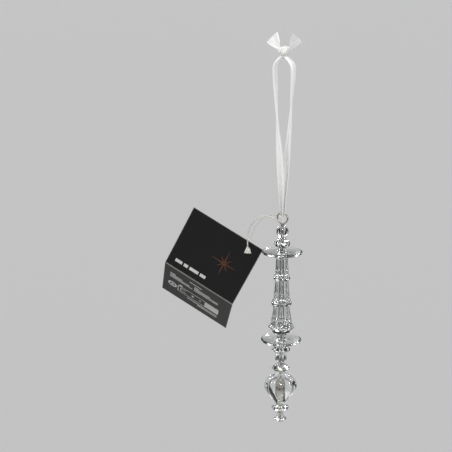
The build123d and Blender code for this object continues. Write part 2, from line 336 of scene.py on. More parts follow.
@dataclass(frozen=True)
class CoatedCard(Finish):
    """Art card under a satin dispersion coat: dark even ink, soft gloss, light fibres where edges wear."""

    ink: str
    worn: str = "#8d8a84"
    gloss: float = 0.36
    shine: float = 0.4
    fibre_mm: float = 0.5
    cloud_mm: float = 12.5  # patches of uneven ink
    wear_mm: float = 0.45
    size_mm: tuple[float, float] = (50.0, 41.0)

    def dress(self, tree: bpy.types.NodeTree, shader: bpy.types.Node) -> None:
        """Ink with fine mottling, and a broken worn line at the rim, on the leaf's own UV in millimetres."""
        flat = add_node(tree, "ShaderNodeUVMap", uv_map="leaf").outputs["UV"]
        split = add_node(tree, "ShaderNodeSeparateXYZ", {0: flat})
        fibre = add_node(
            tree, "ShaderNodeTexNoise", {"Vector": flat, "Scale": 1 / self.fibre_mm, "Detail": 4.0}
        )
        cloudy = add_node(
            tree, "ShaderNodeTexNoise", {"Vector": flat, "Scale": 1 / self.cloud_mm, "Detail": 2.0}
        )
        rims = []
        for axis, size in zip(("X", "Y"), self.size_mm):
            middle = add_node(
                tree, "ShaderNodeMath", {0: split.outputs[axis], 1: size / 2}, operation="ADD"
            )
            away = add_node(tree, "ShaderNodeMath", {0: middle.outputs[0]}, operation="ABSOLUTE")
            rim = add_node(
                tree,
                "ShaderNodeMapRange",
                {0: away.outputs[0], 1: size / 2 - self.wear_mm, 2: size / 2, 3: 0.0, 4: 1.0},
            )
            rims.append(rim.outputs[0])
        rim = add_node(tree, "ShaderNodeMath", {0: rims[0], 1: rims[1]}, operation="MAXIMUM")
        chips = add_node(
            tree, "ShaderNodeMapRange", {0: fibre.outputs["Fac"], 1: 0.4, 2: 0.6, 3: 0.25, 4: 1.0}
        )
        wear = add_node(
            tree, "ShaderNodeMath", {0: rim.outputs[0], 1: chips.outputs[0]}, operation="MULTIPLY"
        )
        base = add_node(
            tree,
            "ShaderNodeMix",
            {"Factor": cloudy.outputs["Fac"], 6: linear(self.ink), 7: linear(self.lifted())},
            data_type="RGBA",
        )
        colour = add_node(
            tree,
            "ShaderNodeMix",
            {"Factor": wear.outputs[0], 6: base.outputs[2], 7: linear(self.worn)},
            data_type="RGBA",
        )
        rough = add_node(
            tree,
            "ShaderNodeMapRange",
            {0: fibre.outputs["Fac"], 1: 0.3, 2: 0.7, 3: self.gloss - 0.05, 4: self.gloss + 0.08},
        )
        bump = add_node(
            tree, "ShaderNodeBump", {"Height": fibre.outputs["Fac"], "Strength": 0.2, "Distance": 0.03 * MM}
        )
        feed(
            tree,
            shader,
            {
                "Base Color": colour.outputs[2],
                "Roughness": rough.outputs[0],
                "IOR": 1.5,
                "Specular IOR Level": self.shine,
                "Normal": bump.outputs["Normal"],
            },
        )

    def lifted(self) -> str:
        """Return the ink a little lighter, for its uneven cover."""
        parts = [min(255, int(int(self.ink[k : k + 2], 16) * 1.25) + 3) for k in (1, 3, 5)]
        return "#" + "".join(f"{p:02x}" for p in parts)


@dataclass(frozen=True)
class RawCard(Finish):
    """Uncoated back and cut edge of the card: matt pulp with short fibres; the default warm grey is
    cream-white board darkened with painted shade from inside the fold.
    """

    # cream-white board painted down to a warm grey: painted shade of the inside of the fold
    colour: str = "#b3aa9c"
    fleck: str = "#8f8779"
    fibre_mm: float = 0.7

    def dress(self, tree: bpy.types.NodeTree, shader: bpy.types.Node) -> None:
        """Two tones of pulp in a fibrous noise, and its tooth as bump."""
        place = add_node(tree, "ShaderNodeTexCoord").outputs["Object"]
        fibre = add_node(
            tree,
            "ShaderNodeTexNoise",
            {"Vector": place, "Scale": 1 / (self.fibre_mm * MM), "Detail": 5.0, "Distortion": 0.6},
        )
        mix = add_node(
            tree,
            "ShaderNodeMapRange",
            {0: fibre.outputs["Fac"], 1: 0.45, 2: 0.75, 3: 0.0, 4: 0.7},
        )
        colour = add_node(
            tree,
            "ShaderNodeMix",
            {"Factor": mix.outputs[0], 6: linear(self.colour), 7: linear(self.fleck)},
            data_type="RGBA",
        )
        bump = add_node(
            tree, "ShaderNodeBump", {"Height": fibre.outputs["Fac"], "Strength": 0.3, "Distance": 0.05 * MM}
        )
        feed(
            tree,
            shader,
            {
                "Base Color": colour.outputs[2],
                "Roughness": 0.85,
                "IOR": 1.5,
                "Normal": bump.outputs["Normal"],
            },
        )


@dataclass(frozen=True)
class PrintedInk(Finish):
    """Printed mark on the card: opaque white ink or a copper-coloured metallic ink, slightly broken."""

    colour: str
    metallic: float = 0.0
    rough: float = 0.5
    grain_mm: float = 0.35

    def dress(self, tree: bpy.types.NodeTree, shader: bpy.types.Node) -> None:
        """Ink that thins where the card's tooth is high."""
        place = add_node(tree, "ShaderNodeTexCoord").outputs["Object"]
        grain = add_node(
            tree, "ShaderNodeTexNoise", {"Vector": place, "Scale": 1 / (self.grain_mm * MM), "Detail": 2.0}
        )
        thin = add_node(
            tree, "ShaderNodeMapRange", {0: grain.outputs["Fac"], 1: 0.35, 2: 0.65, 3: 0.0, 4: 1.0}
        )
        dark = "#" + "".join(f"{int(int(self.colour[k : k + 2], 16) * 0.78):02x}" for k in (1, 3, 5))
        colour = add_node(
            tree,
            "ShaderNodeMix",
            {"Factor": thin.outputs[0], 6: linear(dark), 7: linear(self.colour)},
            data_type="RGBA",
        )
        feed(
            tree,
            shader,
            {
                "Base Color": colour.outputs[2],
                "Metallic": self.metallic,
                "Roughness": self.rough,
            },
        )


@dataclass(frozen=True)
class MilkyNylon(Finish):
    """Moulded nylon: milky and slightly see-through, waxy highlight, tiny sink marks."""

    colour: str = "#eceae4"
    clear: float = 0.25

    def dress(self, tree: bpy.types.NodeTree, shader: bpy.types.Node) -> None:
        """Light scattered under a waxy skin."""
        place = add_node(tree, "ShaderNodeTexCoord").outputs["Object"]
        skin = add_node(tree, "ShaderNodeTexNoise", {"Vector": place, "Scale": 1 / (0.8 * MM), "Detail": 2.0})
        rough = add_node(
            tree, "ShaderNodeMapRange", {0: skin.outputs["Fac"], 1: 0.3, 2: 0.7, 3: 0.26, 4: 0.42}
        )
        bump = add_node(
            tree, "ShaderNodeBump", {"Height": skin.outputs["Fac"], "Strength": 0.15, "Distance": 0.05 * MM}
        )
        feed(
            tree,
            shader,
            {
                "Base Color": linear(self.colour),
                "Roughness": rough.outputs[0],
                "IOR": 1.53,
                "Transmission Weight": self.clear,
                "Subsurface Weight": 0.3,
                "Subsurface Radius": (1.0, 1.0, 1.0),
                "Subsurface Scale": 0.6 * MM,
                "Normal": bump.outputs["Normal"],
            },
        )


@dataclass
class Piece:
    """One finished piece: what it is called, what it rides on, if anything, and what it stands for."""

    name: str
    body: str
    slot: Slot
    materials: Sequence[bpy.types.Material]
    stands_for: tuple[str, ...] = ()

    def place(
        self, bm: bmesh.types.BMesh, smooth: bool = True, sharp: float | None = None
    ) -> bpy.types.Object:
        """Turn a bmesh in millimetres into the piece's object.

        Args:
            bm: Finished shape in the row frame, in millimetres; it is freed.
            smooth: Whether its faces are shaded smooth.
            sharp: Angle in degrees past which an edge shows, if any.

        Returns:
            The object, riding on its body.
        """
        bm.transform(Matrix.Scale(MM, 4))
        mesh = bpy.data.meshes.new(self.name)
        bm.to_mesh(mesh)
        bm.free()
        if smooth:
            mesh.shade_smooth()
        if sharp is not None:
            mesh.set_sharp_from_angle(angle=math.radians(sharp))
        obj = bpy.data.objects.new(self.name, mesh)
        bpy.context.scene.collection.objects.link(obj)
        return self.settle(obj)

    def settle(self, obj: bpy.types.Object) -> bpy.types.Object:
        """Give an object its materials and body.

        Args:
            obj: Mesh or curve object with its place in its data.

        Returns:
            The same object.
        """
        for material in self.materials:
            obj.data.materials.append(material)
        if self.body:
            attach(obj, self.body)
        if self.stands_for:
            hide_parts(*self.stands_for)
        log.info("%s rides on %s", self.name, self.body or "two bodies")
        return obj


def smoothstep(low: float, high: float, value: float) -> float:
    """Return 0 below low, 1 above high and a smooth step between."""
    t = min(1.0, max(0.0, (value - low) / (high - low)))
    return t * t * (3 - 2 * t)


def glide(points: Sequence[Sequence[float]], steps: int) -> list[tuple[float, ...]]:
    """Pass a smooth line through rows of numbers.

    Args:
        points: Rows to pass through, of any one length.
        steps: Samples between two rows.

    Returns:
        The rows and the samples between them, by Catmull and Rom's rule.
    """

    def between(p: float, q: float, r: float, s: float, t: float) -> float:
        """Return the value at share t of the way from q to r."""
        square, cube = 2 * p - 5 * q + 4 * r - s, 3 * q - p - 3 * r + s
        return 0.5 * (2 * q + (r - p) * t + square * t**2 + cube * t**3)

    rows = [points[0], *points, points[-1]]
    line = []
    for four in zip(rows, rows[1:], rows[2:], rows[3:]):
        line += [tuple(between(*column, k / steps) for column in zip(*four)) for k in range(steps)]
    return [*line, tuple(points[-1])]


def outline(*corners: tuple[float, ...], steps: int = 7) -> list[tuple[float, float]]:
    """Lathe outline of straight runs and arcs.

    Args:
        *corners: Radius and height, and where the run to it is an arc, the arc's sagitta outwards.
        steps: Samples on each arc.

    Returns:
        Radius and height along the outline.
    """
    line = [corners[0][:2]]
    for corner in corners[1:]:
        start, end = Vector(line[-1]), Vector(corner[:2])
        if len(corner) == 3 and abs(corner[2]) > 1e-6:
            chord = end - start
            out = Vector((-chord.y, chord.x)).normalized()
            for k in range(1, steps):
                t = k / steps
                line.append(tuple(start + chord * t + out * corner[2] * 4 * t * (1 - t)))
        line.append(tuple(end))
    return line


@dataclass
class Bead:
    """One clear bead, turned about the pin and lobed or cut as its mould makes it."""

    node: str
    profile: list[tuple[float, float]]  # radius and depth below its top face, millimetres
    lobes: int = 0
    bulge: float = 0.32  # rise of a lobe's arc, as a share of its chord
    notch: float = 0.0  # how far the foot is scalloped upwards between lobes
    facets: int = 0
    twist_at: tuple[float, float] | None = None  # depths between which a facet ring is turned half a facet
    core: float = 1.2  # radius inside which no lobe shows
    fade: float = 1.4  # further radius over which the lobes come in
    bore: float = 0.86
    sharp: float = 38.0
    around: int = 96

    def build(self, finish: bpy.types.Material) -> bpy.types.Object:
        """Spin the outline with its bore, shape the lobes and place the bead.

        Args:
            finish: The clear acrylic.

        Returns:
            The bead's object, in place of its CAD node.
        """
        low, high = (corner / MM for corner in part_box(self.node))
        top = high.z
        height = high.z - low.z
        line = [(max(r, self.bore), z) for r, z in self.profile]
        line = [(self.bore, line[0][1]), *line, (self.bore, line[-1][1])]
        bm = bmesh.new()
        ring = [bm.verts.new((r, 0, top + z)) for r, z in line]
        edges = [bm.edges.new((a, b)) for a, b in zip(ring, [*ring[1:], ring[0]]) if a != b]
        bmesh.ops.spin(
            bm,
            geom=[*ring, *edges],
            axis=(0, 0, 1),
            cent=(0, 0, 0),
            steps=self.facets or self.around,
            angle=math.tau,
            use_merge=True,
        )
        bmesh.ops.remove_doubles(bm, verts=bm.verts, dist=1e-4)
        if self.facets and self.twist_at:
            deep, shallow = self.twist_at
            outside = 2 * self.core
            girdle = [v for v in bm.verts if deep < v.co.z - top < shallow and v.co.xy.length > outside]
            bmesh.ops.rotate(
                bm, verts=girdle, cent=(0, 0, 0), matrix=Matrix.Rotation(math.pi / self.facets, 3, "Z")
            )
            bmesh.ops.triangulate(bm, faces=bm.faces)
        if self.lobes:
            self.shape_lobes(bm, top, height)
        bmesh.ops.recalc_face_normals(bm, faces=bm.faces)
        piece = Piece(f"{self.node}_clear", f"{self.node}_body", Slot.ACRYLIC, [finish], (self.node,))
        return piece.place(bm, sharp=self.sharp)

    def shape_lobes(self, bm: bmesh.types.BMesh, top: float, height: float) -> None:
        """Draw the round body in between equal outward arcs.

        Args:
            bm: The turned bead.
            top: Height of its top face.
            height: Its length along the pin.
        """
        half = math.pi / self.lobes
        valley = 1 / (math.cos(half) + 2 * self.bulge * math.sin(half))
        chord, sagitta = valley * math.sin(half), 2 * self.bulge * valley * math.sin(half)
        radius = (chord**2 + sagitta**2) / (2 * sagitta)
        centre = 1 - radius
        for v in bm.verts:
            r = v.co.xy.length
            angle = (math.atan2(v.co.y, v.co.x) % (2 * half)) - half
            share = centre * math.cos(angle) + math.sqrt(radius**2 - (centre * math.sin(angle)) ** 2)
            weight = smoothstep(self.core, self.core + self.fade, r)
            factor = 1 + (share - 1) * weight
            v.co.x *= factor
            v.co.y *= factor
            if self.notch:
                foot = smoothstep(0.8, 1.0, (top - v.co.z) / height)
                v.co.z += self.notch * foot * weight * (1 - smoothstep(valley, 1, share))


@dataclass
class BeadStack:
    """The seventeen beads on the pin, from the ball under the eye down to the bell tip."""

    ball_r: float = 3.75
    saucer_r: float = 12.25
    saucer_t: float = 1.3
    dish: float = 1.2
    hub_r: float = 2.8
    upper_hub_h: float = 3.6
    lower_hub_h: float = 4.4
    flutes: int = 16
    ring_steps: int = 16
    ball_steps: int = 24

    def ball(self) -> list[tuple[float, float]]:
        """Outline of the top ball, flat where the bore comes out."""
        flat = 1.5
        end = math.sqrt(self.ball_r**2 - flat**2)
        start = math.asin(flat / self.ball_r)
        span = (math.pi - 2 * start) / self.ball_steps
        angles = [start + span * k for k in range(self.ball_steps + 1)]
        return [(self.ball_r * math.sin(a), self.ball_r * math.cos(a) - end) for a in angles]

    def saucer(self, hub_h: float) -> list[tuple[float, float]]:
        """Outline of a thin dished flange with a beaded rim and a stepped hub.

        Args:
            hub_h: Height of the hub above the flange.

        Returns:
            Radius and depth along the outline.
        """
        r, hub, t = self.saucer_r, self.hub_r, self.saucer_t
        return outline(
            (hub * 0.78, 0),
            (hub * 0.86, -0.15),
            (hub * 0.8, -hub_h * 0.42, -0.12),
            (hub * 1.08, -hub_h * 0.55, 0.12),
            (hub * 1.02, -hub_h + 0.25, 0.1),
            (r * 0.46, -hub_h + 0.12, -0.1),
            (r * 0.49, -hub_h + 0.32),
            (r - 1.5, -hub_h + self.dish - 0.12, -0.32),
            (r - 1.15, -hub_h + self.dish + 0.06),
            (r - 0.35, -hub_h + self.dish + 0.06, 0.14),
            (r, -hub_h + self.dish - 0.45, 0.12),
            (r - 0.35, -hub_h + self.dish - 0.85 * t, 0.1),
            (hub * 1.4, -hub_h - t + 0.02, 0.45),
            (self.hub_r * 0.5, -hub_h - t),
        )

    def column(self, top: float, bottom: float, height: float) -> list[tuple[float, float]]:
        """Outline of a fluted length that flares to a crown at its foot.

        Args:
            top: Width at its top.
            bottom: Width at its foot.
            height: Length along the pin.

        Returns:
            Radius and depth along the outline.
        """
        neck = top / 2 + 0.45 * (bottom - top) / 2
        return outline(
            (top / 2 - 0.5, 0),
            (top / 2, -0.5, 0.12),
            (top / 2 - 0.02, -1.3, 0.05),
            (top / 2 - 0.22, -1.6),
            (top / 2 + 0.02, -2.0, 0.03),
            (neck - 0.02, -height * 0.66, -0.12),
            (neck + 0.02, -height * 0.7),
            (neck - 0.32, -height * 0.73, -0.05),
            (neck - 0.12, -height * 0.77),
            (bottom / 2 - 0.12, -height + 0.9, -0.22),
            (bottom / 2, -height + 0.35, 0.06),
            (bottom / 2 - 0.3, -height, 0.08),
        )

    def skirt(self) -> list[tuple[float, float]]:
        """Outline of the lowest length, hollow underneath round its core."""
        height, hollow = 14.2, 5.0
        line = self.column(10.2, 16.0, height)
        return line + outline(
            (6.4, -height),
            (3.6, hollow - height, -0.3),
            (3.2, hollow + 0.2 - height),
            (2.8, hollow - height),
            (2.8, -height),
        )

    def beads(self) -> list[Bead]:
        """Return every bead of the stack, from the top down."""
        turnip = [
            (0.0, 0.34), (0.07, 0.62), (0.2, 0.88), (0.38, 1.0),
            (0.55, 0.92), (0.75, 0.66), (0.92, 0.4), (1.0, 0.32),
        ]  # fmt: skip
        crown = [(0, 0.5), (0.06, 0.62), (0.22, 0.87), (0.5, 1.0), (0.78, 0.87), (0.94, 0.62), (1, 0.5)]
        ringed = {
            "column_ring_upper": (5.1, 2.0),
            "column_ring_lower": (6.2, 2.2),
            "collar_ring": (5.5, 3.8),
        }
        neck = 2.2  # height of the faceted bead's plain neck
        made = [
            Bead("top_ball", self.ball()),
            Bead("neck_bead", outline((1.88, 0), (1.88, -1.6, 0.48), steps=12), sharp=50),
            Bead(
                "upper_rondelle",
                [(5.1 * r, -4.6 * z) for z, r in glide(crown, 5)],
                lobes=10,
                around=120,
                sharp=60,
            ),
            Bead("upper_saucer", self.saucer(self.upper_hub_h), around=128, sharp=50),
            Bead("column_upper", self.column(7.2, 9.4, 13.0), self.flutes, notch=0.5, around=160),
            Bead("column_middle", self.column(8.4, 11.4, 13.4), self.flutes, notch=0.6, around=160),
            Bead("column_skirt", self.skirt(), self.flutes, notch=0.7, core=3.6, around=160),
            Bead("lower_saucer", self.saucer(self.lower_hub_h), around=128, sharp=50),
            Bead(
                "faceted_rondelle",
                [
                    (1.7, 0), (1.7, 0.2 - neck), (2.9, -neck), (4.6, -neck - 0.9), (5.7, -neck - 1.75),
                    (5.7, -neck - 2.45), (4.6, -neck - 3.3), (2.9, -neck - 4.2),
                ],  # fmt: skip
                facets=12,
                twist_at=(-neck - 2.1, -neck - 0.1),
                sharp=12,
            ),
            Bead(
                "small_bead",
                outline((1.7, 0), (1.7, -0.58), (3.5, -2.9, 0.81), (1.7, -5.22, 0.81), (1.7, -5.8), steps=10),
                sharp=50,
            ),
            Bead(
                "lobed_bead",
                outline((2.3, 0), (2.3, -1.4, -0.25))
                + [(5.5 * r, -1.6 - 4.2 * z) for z, r in glide(crown, 5)],
                lobes=8,
                around=128,
                core=2.3,
                sharp=60,
            ),
            Bead(
                "turnip_ball",
                [(10.0 * r, -19.4 * z) for z, r in glide(turnip, 6)],
                lobes=8,
                around=160,
                sharp=60,
            ),
            Bead(
                "lower_disc",
                outline((2.2, 0), (2.2, -0.92, -0.1), (5.1, -2.07, 0.15), (5.25, -2.3), (5.25, -2.95),
                        (5.1, -3.13), (2.2, -4.6, 0.15)),
                sharp=30,
            ),
            Bead(
                "bell_tip",
                outline((2.36, 0), (2.13, -2.7, -0.35), (3.8, -5.16, -0.45), (3.75, -5.6, 0.05),
                        (3.42, -6.0)),
                sharp=50,
            ),
        ]  # fmt: skip
        for node, (radius, height) in ringed.items():
            round_r = height / 2
            inner = radius - round_r
            turns = [math.pi * k / self.ring_steps for k in range(self.ring_steps + 1)]
            arc = [(inner + round_r * math.sin(a), -round_r * (1 - math.cos(a))) for a in turns]
            made.append(Bead(node, arc, sharp=60))
        return made


class Gather:
    """Cross-section of the ribbon where it is drawn together: pleats that keep the cloth's own width."""

    def __init__(self, cloth: float, modes: Sequence[tuple[float, float, float, float]]) -> None:
        """Keep the cloth's width and its pleats.

        Args:
            cloth: Flat width in millimetres.
            modes: Pleats across the width, phase in turns, weight when open and weight when gathered.
        """
        self.cloth = cloth
        self.modes = modes

    def section(self, width: float, drift: float, columns: int) -> list[tuple[float, float]]:
        """Pleated polyline as long as the cloth is wide.

        Args:
            width: Width that shows.
            drift: How far the pleats have wandered, in turns.
            columns: Number of columns of faces.

        Returns:
            Sideways and outward offsets of each point, millimetres.
        """
        tight = min(1.0, max(0.0, 1 - width / self.cloth))
        low, high = 0.0, 3.0
        for _ in range(22):
            middle = (low + high) / 2
            points = self.points(width, drift, columns, tight, middle)
            run = sum(math.dist(a, b) for a, b in zip(points, points[1:]))
            low, high = (middle, high) if run < self.cloth else (low, middle)
        return points

    def points(
        self, width: float, drift: float, columns: int, tight: float, depth: float
    ) -> list[tuple[float, float]]:
        """Polyline at one pleat depth; the arguments are those of section."""
        made = []
        for k in range(columns + 1):
            v = k / columns - 0.5
            out = side = 0.0
            for count, phase, loose, drawn in self.modes:
                turn = math.tau * (count * v + phase + drift)
                weight = loose * (1 - tight) + drawn * tight
                out += weight * math.sin(turn)
                side += weight * math.sin(2 * turn) * tight / (count + 0.5)
            made.append((width * v + side * depth * 0.55, out * depth))
        return made


@dataclass
class Ribbon:
    """The organza ribbon: a loop with the eye in its bight, a knot above the peg and two cut tails."""

    hang: float = 90.7
    width: float = 10.0
    peg: float = 9.0
    clear: float = 0.6
    at_eye: float = 1.25  # centre of the gathered ribbon beside the wire
    gathered: float = 2.4
    knot: tuple[float, float, float] = (7.4, 6.4, 5.6)
    knot_lift: float = 1.4
    tail: float = 11.5
    tilt: float = 36.0
    twist: float = -38.0  # turn of each tail about its own length
    slant: float = 0.26  # share of a tail's length that its cut takes off one side
    strap: float = 24.0  # slope of the knot's strap, degrees
    columns: int = 44
    bight_steps: int = 12
    strap_steps: int = 48
    tail_steps: int = 30

    def strand(self) -> list[tuple[float, ...]]:
        """Rows of height, turn, offset and shown width, from the knot down to the eye."""
        out = self.peg / 2 + self.clear + 0.25
        return [
            (self.knot_lift + 1.2, 0, 0.3, 4.6),
            (self.knot_lift - 0.3, 0, 1.1, 5.6),
            (-self.peg * 0.12, 0, out * 0.64, 6.4),
            (-self.peg * 0.42, 0, out * 0.96, 7.2),
            (-self.peg * 0.9, 1, out * 1.02, 7.7),
            (-self.hang * 0.25, 14, out * 0.84, 8.3),
            (-self.hang * 0.45, 36, out * 0.62, 7.9),
            (-self.hang * 0.65, 60, out * 0.43, 6.8),
            (-self.hang * 0.83, 82, self.at_eye * 1.3, 4.7),
            (-self.hang * 0.94, 90, self.at_eye, 2.9),
            (-self.hang, 90, self.at_eye, self.gathered),
        ]

    def frames(self) -> list[tuple[Vector, Vector, float, float]]:
        """Stations along the whole loop: centre, direction of the width, shown width and distance run."""
        down = glide(self.strand(), 14)
        half = []
        for z, turn, offset, width in down:
            cos, sin = math.cos(math.radians(turn)), math.sin(math.radians(turn))
            half.append((Vector((-offset * cos, -offset * sin, z)), Vector((-sin, cos, 0)), width))
        bight = []
        for k in range(1, self.bight_steps):
            a = math.pi * k / self.bight_steps
            centre = Vector((0, -self.at_eye * math.cos(a), -self.hang - self.at_eye * math.sin(a)))
            bight.append((centre, Vector((-1, 0, 0)), self.gathered))
        up = [(Vector((-c.x, -c.y, c.z)), w, width) for c, w, width in reversed(half)]
        stations, run = [], 0.0
        for centre, across, width in [*half, *bight, *up]:
            if stations:
                run += (centre - stations[-1][0]).length
            stations.append((centre, across, width, run))
        return stations

    def drape(
        self,
        stations: Sequence[tuple[Vector, Vector, float, float]],
        gather: Gather,
        cut: Callable[[float], float] | None = None,
    ) -> bmesh.types.BMesh:
        """Lay a grid of cloth along stations.

        Args:
            stations: Centre, direction of the width, shown width and distance run.
            gather: The pleats.
            cut: Share of the last run that is left at a place across the width, if the end is cut.

        Returns:
            The cloth, with its UV in ribbon widths.
        """
        rows = len(stations)
        bm = bmesh.new()
        uv = bm.loops.layers.uv.new("cloth")
        bunch = bm.verts.layers.float.new("bunch")
        bmesh.ops.create_grid(bm, x_segments=self.columns, y_segments=rows - 1, size=1)
        bm.verts.ensure_lookup_table()
        sections, steepness = [], []
        for k, (centre, across, width, run) in enumerate(stations):
            ahead = stations[min(k + 1, rows - 1)][0] - stations[max(k - 1, 0)][0]
            facing = ahead.normalized().cross(across).normalized()
            drift = 0.05 * math.sin(run / 17) + 0.03 * math.sin(run / 7.3 + 1)
            pleated = gather.section(width, drift, self.columns)
            sections.append([centre + across * x + facing * y for x, y in pleated])
            padded = [pleated[0], *pleated, pleated[-1]]
            steepness.append(
                [abs(q[1] - p[1]) / max(math.dist(p, q), 1e-6) for p, q in zip(padded, padded[2:])]
            )
        last = stations[-1][3]
        for v in bm.verts:
            column = round((v.co.x + 1) / 2 * self.columns)
            row = round((v.co.y + 1) / 2 * (rows - 1))
            if cut:
                row_at = row * cut(column / self.columns)
                low = min(int(row_at), rows - 2)
                v.co = sections[low][column].lerp(sections[low + 1][column], row_at - low)
                run = last * row_at / (rows - 1)
            else:
                v.co = sections[row][column]
                run = stations[row][3]
            v[bunch] = steepness[row][column]
            for loop in v.link_loops:
                loop[uv].uv = (column / self.columns, run / self.width)
        return bm

    def build(
        self, cloth: bpy.types.Material, bunched: bpy.types.Material, cut: bpy.types.Material
    ) -> list[bpy.types.Object]:
        """Make the loop, the knot with its wrap, and both tails.

        Args:
            cloth: The organza.
            bunched: The organza many layers deep.
            cut: The organza at the cut ends.

        Returns:
            The ribbon's objects.
        """
        stations = self.frames()
        pleats = Gather(self.width, [(1.1, 0.1, 1.0, 0.25), (2.4, 0.35, 0.8, 0.5), (4.2, 0.0, 0.35, 1.0)])
        loop = Piece("ribbon_loop_cloth", Body.RIBBON.value, Slot.ORGANZA, [cloth], ("ribbon_loop",)).place(
            self.drape(stations, pleats)
        )
        knot = Piece("ribbon_knot_lump", Body.RIBBON.value, Slot.ORGANZA, [bunched], ("ribbon_knot",)).place(
            self.lump()
        )
        wrap = Piece("ribbon_knot_wrap", Body.RIBBON.value, Slot.ORGANZA, [bunched]).place(self.wrap())
        return [loop, knot, wrap, self.tail_end(-1, cut), self.tail_end(1, cut)]

    def lump(self) -> bmesh.types.BMesh:
        """Body of the knot: a full round lump whose skin is drawn into slanting folds."""
        bm = bmesh.new()
        uv = bm.loops.layers.uv.new("cloth")
        bmesh.ops.create_uvsphere(bm, u_segments=72, v_segments=40, radius=1)
        size = Vector(self.knot) / 2
        for v in bm.verts:
            n = v.co.normalized()
            slant = math.atan2(n.z, n.x) * 1.0 + n.y * 2.4
            fold = 0.055 * math.sin(7 * slant) + 0.03 * math.sin(13 * slant + 2 * n.y)
            full = Vector((abs(c) ** 0.86 * (1 if c > 0 else -1) for c in n))
            shaped = full * (0.93 + fold * (1 - 0.6 * n.y**2))
            v.co = Vector((shaped.x * size.x, shaped.y * size.y, shaped.z * size.z))
        for face in bm.faces:
            for loop in face.loops:
                loop[uv].uv = (0.5 + loop.vert.co.y / self.width * 0.8, loop.vert.co.x / self.width)
        bmesh.ops.translate(bm, verts=bm.verts, vec=(0, 0, self.knot_lift + self.knot[2] / 2))
        return bm

    def wrap(self) -> bmesh.types.BMesh:
        """The strap of the overhand knot, slanting over the lump from front to back."""
        centre = Vector((0, 0, self.knot_lift + self.knot[2] / 2))
        tilt = Matrix.Rotation(math.radians(self.strap), 3, "Y")
        along, across, up = 0.25, self.knot[1] * 0.52, self.knot[2] * 0.5
        stations, run = [], 0.0
        for k in range(self.strap_steps + 1):
            a = math.tau * k / self.strap_steps
            sin, cos = math.sin(a), math.cos(a)
            place = centre + tilt @ Vector((along * sin, across * cos, up * sin))
            if stations:
                run += (place - stations[-1][0]).length
            stations.append((place, tilt @ Vector((1, 0, 0)), 3.9 + 0.5 * math.cos(2 * a), run))
        return self.drape(stations, Gather(self.width * 0.75, [(1.6, 0.1, 0.6, 0.5), (3.2, 0.4, 0.4, 1.0)]))

    def tail_end(self, side: int, cloth: bpy.types.Material) -> bpy.types.Object:
        """One tail: drawn in at the knot, fanning out and cut on the slant.

        Args:
            side: 1 for the right one, -1 for the left one.
            cloth: The organza.

        Returns:
            The tail's object.
        """
        start = Vector((side * 1.6, 0, self.knot_lift + self.knot[2] * 0.5))
        reach = self.tail + 0.6
        stations = []
        place, run, step = start, 0.0, reach / self.tail_steps
        for k in range(self.tail_steps + 1):
            t = k / self.tail_steps
            lean = math.radians(self.tilt + 10 - 18 * t)
            ahead = Vector((side * math.sin(lean), 0, math.cos(lean)))
            turn = Matrix.Rotation(math.radians(self.twist) * smoothstep(0, 0.7, t), 3, ahead)
            shown = 2.6 + 6.9 * smoothstep(-0.1, 1.0, t) ** 0.8
            stations.append((place, turn @ Vector((0, 1, 0)), shown, run))
            place = place + ahead * step
            run += step
        pleats = Gather(self.width, [(1.3, 0.2 * side, 0.8, 0.3), (2.6, 0.1, 0.4, 1.0), (4.1, 0.3, 0.1, 0.5)])
        bm = self.drape(stations, pleats, cut=lambda v: 1 - self.slant * (v if side > 0 else 1 - v))
        node = "ribbon_tail_right" if side > 0 else "ribbon_tail_left"
        tail = Piece(f"{node}_cloth", Body.RIBBON.value, Slot.ORGANZA, [cloth], (node,)).place(bm)
        return tail


